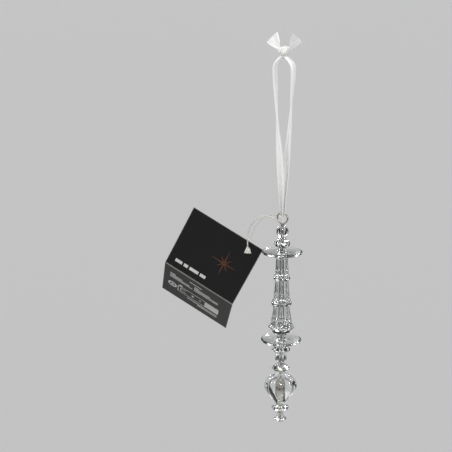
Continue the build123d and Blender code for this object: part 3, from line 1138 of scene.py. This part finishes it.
@dataclass
class Tag:
    """The folded card tag with its print, crease, nylon loop and lock."""

    leaf_w: float = 50.0
    leaf_l: float = 41.0
    leaf_t: float = 0.4
    crease: float = 0.3
    crease_sunk: float = 13.0  # how far each end of the crease reaches into its leaf, degrees
    crease_steps: int = 16
    opening: float = 135.0
    hole_side: float = 8.0
    hole_edge: float = 5.0
    hole_d: float = 3.0
    lean: float = 28.0
    yaw: float = 8.0
    clear: float = 0.35
    saucer_r: float = 12.25
    rim_z: float = -114.93
    filament_d: float = 0.8
    filament_l: float = 82.6
    lock_size: tuple[float, float, float] = (4.6, 4.0, 1.2)  # wide end, length, thickness
    lock_tip: float = 1.2  # narrow end
    lock_round: float = 0.22

    def frame(self) -> Matrix:
        """Place of the tag: x along its hung end, y from the fold up, z out of the printed face."""
        return (
            Matrix.Translation((-(self.saucer_r + self.clear), 0, self.rim_z))
            @ Matrix.Rotation(math.radians(self.yaw), 4, "Z")
            @ Matrix.Rotation(math.radians(90), 4, "X")
            @ Matrix.Rotation(math.radians(-self.lean), 4, "Z")
        )

    def fold(self) -> Matrix:
        """Place of the fold's axis, which runs along the tag's x."""
        return self.frame() @ Matrix.Translation(
            (0, -self.leaf_l - self.crease / 2, -self.leaf_t - self.crease / 2)
        )

    def back_frame(self) -> Matrix:
        """Place of the back leaf, in whose own terms its fold is at y 0 and its print at z -leaf_t."""
        return self.fold() @ Matrix.Rotation(math.radians(-self.opening), 4, "X") @ Matrix.Translation(
            (0, self.leaf_l + self.crease / 2, -self.crease / 2)
        )

    def card(self, printed_up: bool, punched: bool) -> bmesh.types.BMesh:
        """One leaf in its own terms: x from -width to 0, y from -length to 0, z from -thickness to 0.

        Args:
            printed_up: Whether the printed face is the upper one.
            punched: Whether it has the round hole for the nylon loop.

        Returns:
            The leaf, with its print side in slot 0, inside in slot 1 and cut edge in slot 2.
        """
        bm = bmesh.new()
        uv = bm.loops.layers.uv.new("leaf")
        w, length = self.leaf_w, self.leaf_l
        corners = [bm.verts.new((x, y, 0)) for x, y in ((-w, -length), (0, -length), (0, 0), (-w, 0))]
        edges = [bm.edges.new((p, q)) for p, q in zip(corners, [*corners[1:], corners[0]])]
        if punched:
            hole = Matrix.Translation((-self.hole_side, -self.hole_edge, 0))
            ring = bmesh.ops.create_circle(
                bm, segments=48, radius=self.hole_d / 2, cap_ends=False, matrix=hole
            )
            edges += dict.fromkeys(e for v in ring["verts"] for e in v.link_edges)
        bmesh.ops.triangle_fill(bm, use_beauty=True, use_dissolve=False, edges=edges)
        sheet = bmesh.ops.extrude_face_region(bm, geom=bm.faces[:])
        lower = [g for g in sheet["geom"] if isinstance(g, bmesh.types.BMVert)]
        bmesh.ops.translate(bm, verts=lower, vec=(0, 0, -self.leaf_t))
        bmesh.ops.recalc_face_normals(bm, faces=bm.faces)
        for face in bm.faces:
            flat = abs(face.normal.z) > 0.5
            up = face.normal.z > 0
            face.material_index = 2 if not flat else (0 if up == printed_up else 1)
            for loop in face.loops:
                loop[uv].uv = loop.vert.co.xy
        return bm

    def build(self, finishes: dict[str, bpy.types.Material]) -> list[bpy.types.Object]:
        """Make both leaves, the crease, the print, the lock and the nylon loop.

        Args:
            finishes: The materials by their short names.

        Returns:
            The tag's objects.
        """
        made = [self.front(finishes), self.back(finishes), self.spine(finishes)]
        made += self.prints(finishes)
        made.append(self.string(finishes))
        return made

    def front(self, finishes: dict[str, bpy.types.Material]) -> bpy.types.Object:
        """The leaf that hangs, with its round punched hole."""
        bm = self.card(True, punched=True)
        bmesh.ops.transform(bm, matrix=self.frame(), verts=bm.verts)
        materials = [finishes[name] for name in ("black", "raw", "edge")]
        card = Piece("tag_front_card", Body.TAG.value, Slot.BLACK_CARD, materials, ("tag_front_leaf",))
        return card.place(bm, smooth=False)

    def back(self, finishes: dict[str, bpy.types.Material]) -> bpy.types.Object:
        """The leaf below the fold, which leans back."""
        bm = self.card(False, punched=False)
        bmesh.ops.transform(bm, matrix=self.back_frame(), verts=bm.verts)
        materials = [finishes[name] for name in ("charcoal", "raw", "edge")]
        stands_for = ("tag_back_leaf",)
        card = Piece("tag_back_card", Body.TAG_BACK.value, Slot.CHARCOAL_CARD, materials, stands_for)
        return card.place(bm, smooth=False)

    def spine(self, finishes: dict[str, bpy.types.Material]) -> bpy.types.Object:
        """The crease: card bent round the fold from one leaf into the other."""
        gap, t = self.crease / 2, self.leaf_t
        # In the fold's own frame the hung leaf ends at y gap and lies from z gap to gap + t.
        outer, inner = math.hypot(gap, gap + t), math.hypot(gap, gap)
        begin = math.atan2(gap + t, gap)
        finish = math.pi - begin + math.radians(180 - self.opening)
        sunk = math.radians(self.crease_sunk)
        bm = bmesh.new()
        first = Vector((0, math.cos(begin - sunk), math.sin(begin - sunk)))
        section = [
            bm.verts.new(Vector((x, 0, 0)) + first * r)
            for x, r in ((-self.leaf_w, inner), (0, inner), (0, outer), (-self.leaf_w, outer))
        ]
        face = bm.faces.new(section)
        bmesh.ops.spin(
            bm,
            geom=[face, *face.edges, *face.verts],
            axis=(1, 0, 0),
            cent=(0, 0, 0),
            angle=finish - begin + 2 * sunk,
            steps=self.crease_steps,
        )
        bmesh.ops.recalc_face_normals(bm, faces=bm.faces)
        fold = self.fold()
        bmesh.ops.transform(bm, matrix=fold, verts=bm.verts)
        crease = Piece("tag_crease", "", Slot.BLACK_CARD, [finishes["crease"]]).place(bm, sharp=50)
        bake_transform(crease)
        return crease

    def prints(self, finishes: dict[str, bpy.types.Material]) -> list[bpy.types.Object]:
        """Flat printed marks: plain bars, a star, a disc and a strip of blocks.

        Args:
            finishes: The materials by their short names.

        Returns:
            The ink pieces of both leaves.
        """
        word = Stencil()
        x, gap = -45.0, 1.2
        for wide in (5.0, 3.0, 6.5, 4.0):
            word.bar(x + wide / 2, -35.8, wide, 2.0)
            x += wide + gap
        star = Stencil()
        star.star(-17.0, -21.0, 8.5, 8)
        back = Stencil()
        back.bar(-26.5, -5.6, 9.5, 0.9)
        for left, rows in ((-45.4, (4.0, 9.0, 14.6, 17.0)), (-27.2, (3.5, 12.0, 18.0, 18.0))):
            for k, wide in enumerate(rows):
                back.bar(left + wide / 2, -8.6 - 1.75 * k, wide, 0.95)
        back.ring(-42.8, -24.4, 3.4, 2.1)
        back.disc(-42.8, -24.4, 1.1)
        back.frame(-23.2, -24.8, 31.0, 8.6, 0.6)
        back.disc(-36.6, -19.6, 1.2)
        back.bar(-12.9, -24.8, 10.4, 8.6)
        back.frame(-34.6, -24.8, 4.2, 4.2, 0.6)
        back.disc(-27.2, -24.6, 1.0)
        back.disc(-21.6, -24.6, 0.7)
        back.bar(-19.6, -31.6, 23.0, 1.0)
        back.bar(-15.6, -33.6, 15.0, 1.0)
        made = []
        for name, stencil, matrix, body, slot, finish in (
            ("tag_front_bars", word, self.frame(), Body.TAG, Slot.BLACK_CARD, "white"),
            ("tag_front_star", star, self.frame(), Body.TAG, Slot.BLACK_CARD, "copper"),
            ("tag_back_marks", back, self.flipped_back(), Body.TAG_BACK, Slot.CHARCOAL_CARD, "white"),
        ):
            made.append(
                Piece(name, body.value, slot, [finishes[finish]]).place(stencil.lay(matrix), smooth=False)
            )
        return made

    def flipped_back(self) -> Matrix:
        """Place of the back leaf's print, which reads from the fold down on its outer face."""
        flip = Matrix.Rotation(math.radians(180), 4, "X")
        return self.back_frame() @ Matrix.Translation((0, -self.leaf_l, -self.leaf_t)) @ flip

    def string(
        self, finishes: dict[str, bpy.types.Material]
    ) -> bpy.types.Object:
        """The nylon loop from its lock through the wire eye to the hole, and the lock itself.

        Args:
            finishes: The materials by their short names.

        Returns:
            The loop's object.
        """
        route = [
            (-21.83, -1.95, -113.59), (-21.7, -3.3, -105.2), (-17.6, -4.8, -96.6), (-9.6, -5.4, -91.8),
            (-2.2, -5.0, -93.6), (0.8, 0.0, -97.9), (-2.4, 5.0, -94.4), (-9.8, 5.2, -93.2),
            (-17.4, 4.6, -97.8), (-21.6, 3.7, -105.6), (-22.1, 2.3, -112.4), (-21.912, -1.359, -115.593),
        ]  # fmt: skip
        data = bpy.data.curves.new("tag_nylon_loop", "CURVE")
        data.dimensions = "3D"
        data.bevel_depth = self.filament_d / 2 * MM
        data.bevel_resolution = 5
        data.resolution_u = 10
        data.use_fill_caps = True
        spline = data.splines.new("NURBS")
        spline.points.add(len(route) - 1)
        for point, place in zip(spline.points, route):
            point.co = (*(c * MM for c in place), 1)
        spline.order_u = 3
        spline.use_endpoint_u = True
        loop = bpy.data.objects.new("tag_nylon_loop", data)
        bpy.context.scene.collection.objects.link(loop)
        nylon = [finishes["filament"]]
        Piece("tag_nylon_loop", Body.TAG.value, Slot.NYLON, nylon, ("tag_filament",)).settle(loop)
        lock = self.lock(finishes)
        return loop

    def lock(self, finishes: dict[str, bpy.types.Material]) -> bpy.types.Object:
        """The moulded fan-shaped lock over the hole, with rounded edges."""
        bm = bmesh.new()
        w, length, t = self.lock_size
        tip = self.lock_tip / 2
        corners = ((-w / 2, -length / 2), (w / 2, -length / 2), (tip, length / 2), (-tip, length / 2))
        face = bm.faces.new([bm.verts.new((x, y, 0)) for x, y in corners])
        body = bmesh.ops.extrude_face_region(bm, geom=[face])
        upper = [g for g in body["geom"] if isinstance(g, bmesh.types.BMVert)]
        bmesh.ops.translate(bm, verts=upper, vec=(0, 0, t))
        bmesh.ops.recalc_face_normals(bm, faces=bm.faces)
        bmesh.ops.bevel(
            bm,
            geom=bm.edges[:],
            offset=self.lock_round,
            segments=3,
            profile=0.5,
            affect="EDGES",
            material=-1,
        )
        place = (
            self.frame()
            @ Matrix.Translation((-self.hole_side, -self.hole_edge, 0.05))
            @ Matrix.Rotation(math.radians(self.lean), 4, "Z")
        )
        bmesh.ops.transform(bm, matrix=place, verts=bm.verts)
        lock = Piece("tag_nylon_lock", Body.TAG.value, Slot.NYLON, [finishes["nylon"]], ("tag_lock",))
        return lock.place(bm, sharp=35)


class Stencil:
    """A set of flat printed shapes in a leaf's own millimetres."""

    ink_t = 0.02

    def __init__(self) -> None:
        """Start empty."""
        self.bm = bmesh.new()

    def bar(self, x: float, y: float, wide: float, high: float) -> None:
        """Add a plain bar.

        Args:
            x: Centre along the leaf.
            y: Centre up the leaf.
            wide: Its width.
            high: Its height.
        """
        matrix = Matrix.Translation((x, y, 0)) @ Matrix.Diagonal((wide, high, 1, 1))
        bmesh.ops.create_grid(self.bm, x_segments=1, y_segments=1, size=0.5, matrix=matrix)

    def disc(self, x: float, y: float, radius: float) -> None:
        """Add a filled round; the arguments are its centre and radius."""
        bmesh.ops.create_circle(
            self.bm, cap_ends=True, segments=36, radius=radius, matrix=Matrix.Translation((x, y, 0))
        )

    def frame(self, x: float, y: float, wide: float, high: float, line: float) -> None:
        """Add a box outlined on its top, bottom and left sides; the arguments are its centre, its size and
        its line's width.
        """
        self.bar(x, y + high / 2 - line / 2, wide, line)
        self.bar(x, y - high / 2 + line / 2, wide, line)
        self.bar(x - wide / 2 + line / 2, y, line, high - 2 * line)

    def ring(self, x: float, y: float, outer: float, inner: float) -> None:
        """Add a round ring; the arguments are its centre and its two radii."""
        place = Matrix.Translation((x, y, 0))
        rims = [
            bmesh.ops.create_circle(self.bm, cap_ends=False, segments=36, radius=r, matrix=place)["verts"]
            for r in (outer, inner)
        ]
        edges = list(dict.fromkeys(e for rim in rims for v in rim for e in v.link_edges))
        bmesh.ops.bridge_loops(self.bm, edges=edges)

    def star(self, x: float, y: float, radius: float, rays: int) -> None:
        """Add a plain star of tapered points; the arguments are its centre, its radius and its points."""
        for k in range(rays):
            turn = math.tau * k / rays
            reach = radius * (0.62 if k % 2 else 1.0)
            matrix = Matrix.Translation((x, y, 0)) @ Matrix.Rotation(turn, 4, "Z")
            point = bmesh.ops.create_grid(self.bm, x_segments=1, y_segments=1, size=0.5)["verts"]
            for v in point:
                far = v.co.x > 0
                v.co = (reach if far else 0.04 * radius, v.co.y * (0.16 if far else 0.09 * radius), 0)
            bmesh.ops.transform(self.bm, matrix=matrix, verts=point)

    def lay(self, matrix: Matrix) -> bmesh.types.BMesh:
        """Give the shapes the ink's thickness and put them on a leaf.

        Args:
            matrix: Place of the leaf's printed face.

        Returns:
            The finished print.
        """
        bm = self.bm
        inked = bmesh.ops.extrude_face_region(bm, geom=bm.faces[:])
        upper = [g for g in inked["geom"] if isinstance(g, bmesh.types.BMVert)]
        bmesh.ops.translate(bm, verts=upper, vec=(0, 0, self.ink_t))
        bmesh.ops.recalc_face_normals(bm, faces=bm.faces)
        bmesh.ops.transform(bm, matrix=matrix, verts=bm.verts)
        return bm


@dataclass
class Studio:
    """Pale sweep, soft lights and the camera; nothing of it is part of the object."""

    azimuth: float = 26.0
    elevation: float = 13.0
    lens: float = 85.0
    margin: float = 1.04
    sweep: str = "#d8d8d7"
    spread: float = 120.0  # side of the floor, metres
    drop: float = 0.4  # how far the floor lies below the tip
    flags: int = 10
    glints: int = 5
    near: float = 0.5  # distance of the flags and the small lamps

    def build(self) -> None:
        """Put up the sweep, the dark cards, the lights and the camera."""
        low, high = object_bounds()
        centre = (low + high) / 2
        self.floor(low)
        self.world()
        self.dark_cards(centre)
        self.lights(centre)
        self.camera(low, high)

    def direction(self, azimuth: float, elevation: float) -> Vector:
        """Return the unit vector from the object towards a viewpoint, in degrees."""
        a, e = math.radians(azimuth), math.radians(elevation)
        return Vector((math.sin(a) * math.cos(e), -math.cos(a) * math.cos(e), math.sin(e)))

    def matt(self, name: str, colour: str) -> bpy.types.Material:
        """Make a matt material of one colour for the stage.

        Args:
            name: What it is.
            colour: Hex colour.

        Returns:
            The material.
        """
        material = bpy.data.materials.new(name)
        material.use_nodes = True
        shader = material.node_tree.nodes["Principled BSDF"]
        feed(material.node_tree, shader, {"Base Color": linear(colour), "Roughness": 0.9})
        return material

    def panel(self, name: str, matrix: Matrix, material: bpy.types.Material) -> bpy.types.Object:
        """Put up one flat panel of the stage.

        Args:
            name: Its name.
            matrix: Place and size, for a square one metre wide.
            material: Its material.

        Returns:
            The panel.
        """
        bm = bmesh.new()
        bmesh.ops.create_grid(bm, x_segments=1, y_segments=1, size=0.5, matrix=matrix)
        mesh = bpy.data.meshes.new(name)
        bm.to_mesh(mesh)
        bm.free()
        mesh.materials.append(material)
        obj = bpy.data.objects.new(name, mesh)
        bpy.context.scene.collection.objects.link(obj)
        obj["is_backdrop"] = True
        return obj

    def floor(self, low: Vector) -> None:
        """A broad pale floor below the tip.

        Args:
            low: The object's lowest corner.
        """
        place = Matrix.Translation((0, 0, low.z - self.drop))
        wide = Matrix.Diagonal((self.spread, self.spread, 1, 1))
        self.panel("floor", place @ wide, self.matt("matt pale paper", self.sweep))

    def world(self) -> None:
        """Even pale light all round."""
        world = bpy.data.worlds.new("studio")
        world.use_nodes = True
        bpy.context.scene.world = world
        bpy.context.scene.view_settings.view_transform = "Standard"
        feed(
            world.node_tree,
            world.node_tree.nodes["Background"],
            {"Color": linear("#f2f2f4"), "Strength": 0.88},
        )

    def dark_cards(self, centre: Vector) -> None:
        """Dark cards out of view, which give the clear beads their dark edges.

        Args:
            centre: Middle of the object.
        """
        black = self.matt("black flag", "#101011")
        step = 360 / self.flags
        for k in range(self.flags):
            size = (0.17, 0.62 + 0.2 * (k % 3))
            roll = Matrix.Rotation(math.radians(17 if k % 2 else -17), 4, "Z")
            towards = self.direction(self.azimuth + step / 2 + step * k, 4)
            turn = towards.to_track_quat("Z", "Y").to_matrix().to_4x4()
            place = Matrix.Translation(centre + towards * self.near) @ turn @ roll
            flag = self.panel(f"flag_{k}", place @ Matrix.Diagonal((*size, 1, 1)), black)
            flag.visible_camera = False
            flag.visible_diffuse = False
            flag.visible_shadow = False

    def lights(self, centre: Vector) -> None:
        """Soft key from the front left, a strip on the right, a lamp above and small ones for the beads.

        Args:
            centre: Middle of the object.
        """
        everything = bpy.data.collections.new("lit by the lamps")
        glassy = bpy.data.collections.new("lit by the small lamps")
        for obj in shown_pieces():
            everything.objects.link(obj)
            if obj.name.endswith("_clear"):
                glassy.objects.link(obj)
        step = 360 / self.glints
        round_about = [
            (f"glint_{k}", self.azimuth + step * k, 34 - 9 * (k % 2), self.near, (0.08, 0.08), 1.5, glassy)
            for k in range(self.glints)
        ]
        for name, azimuth, elevation, distance, size, power, lit in (
            ("key", -14, 46, 0.8, (0.14, 0.14), 1.6, everything),
            ("strip", 66, 22, 0.7, (0.04, 0.4), 0.7, everything),
            ("top", 20, 80, 0.7, (0.14, 0.14), 0.6, everything),
            ("rim", 168, 34, 0.8, (0.1, 0.4), 1.2, everything),
            *round_about,
        ):
            data = bpy.data.lights.new(name, "AREA")
            data.shape = "RECTANGLE"
            data.size, data.size_y = size
            data.energy = power
            lamp = bpy.data.objects.new(name, data)
            lamp.light_linking.receiver_collection = lit
            towards = self.direction(azimuth, elevation)
            lamp.location = centre + towards * distance
            lamp.rotation_mode = "QUATERNION"
            lamp.rotation_quaternion = towards.to_track_quat("Z", "Y")
            bpy.context.scene.collection.objects.link(lamp)

    def camera(self, low: Vector, high: Vector) -> None:
        """Frame the whole object from the front right, a little above it.

        Args:
            low: The object's lowest corner.
            high: The object's highest corner.
        """
        data = bpy.data.cameras.new("camera")
        data.lens = self.lens
        towards = self.direction(self.azimuth, self.elevation)
        turn = towards.to_track_quat("Z", "Y")
        corners = itertools.product(*zip(low, high))
        seen = [turn.inverted() @ Vector(corner) for corner in corners]
        wide = max(c.x for c in seen) - min(c.x for c in seen)
        tall = max(c.y for c in seen) - min(c.y for c in seen)
        middle = Vector(
            (
                (max(c.x for c in seen) + min(c.x for c in seen)) / 2,
                (max(c.y for c in seen) + min(c.y for c in seen)) / 2,
                0,
            )
        )
        half = max(wide, tall) / 2 * self.margin
        distance = half / (data.sensor_width / 2 / self.lens)
        obj = bpy.data.objects.new("camera", data)
        obj.rotation_mode = "QUATERNION"
        obj.rotation_quaternion = turn
        obj.location = turn @ (middle + Vector((0, 0, distance)))
        data.clip_start, data.clip_end = 0.01, 120
        bpy.context.scene.collection.objects.link(obj)
        bpy.context.scene.camera = obj


def main() -> None:
    """Build the ornament's sub-assemblies in order, then the studio."""
    logging.basicConfig(level=logging.INFO, format="%(name)s: %(message)s")
    acrylic = MouldedAcrylic("clear moulded acrylic").material()
    for bead in BeadStack().beads():
        bead.build(acrylic)
    wire = DrawnWire("bright drawn wire").material()
    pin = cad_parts["eye_pin"]
    pin.data.materials.clear()
    pin.data.materials.append(wire)
    Ribbon().build(
        WovenOrganza("white polyester organza").material(),
        WovenOrganza("polyester organza many layers deep", cover=0.78).material(),
        WovenOrganza("polyester organza at the cut ends", cover=0.56).material(),
    )
    Tag().build(
        {
            "black": CoatedCard("near-black coated card", ink="#0c0c0e", shine=0.34).material(),
            "charcoal": CoatedCard("charcoal coated card", ink="#1d1b19", gloss=0.5).material(),
            "crease": RawCard(
                "card bared on the crease", colour="#8b8880", fleck="#3a3835", fibre_mm=0.5
            ).material(),
            # the inside's default colour holds painted shade of the fold
            "raw": RawCard("uncoated card inside").material(),
            "edge": RawCard("cut card edge", colour="#a39a8d", fleck="#6f685e").material(),
            "white": PrintedInk("white printing ink", colour="#dcdcd8").material(),
            "copper": PrintedInk("copper metallic ink", colour="#7a4a33", metallic=0.4).material(),
            "nylon": MilkyNylon("milky moulded nylon").material(),
            "filament": MilkyNylon("nylon monofilament", clear=0.35).material(),
        }
    )
    Studio().build()


if __name__ == "__main__":
    main()
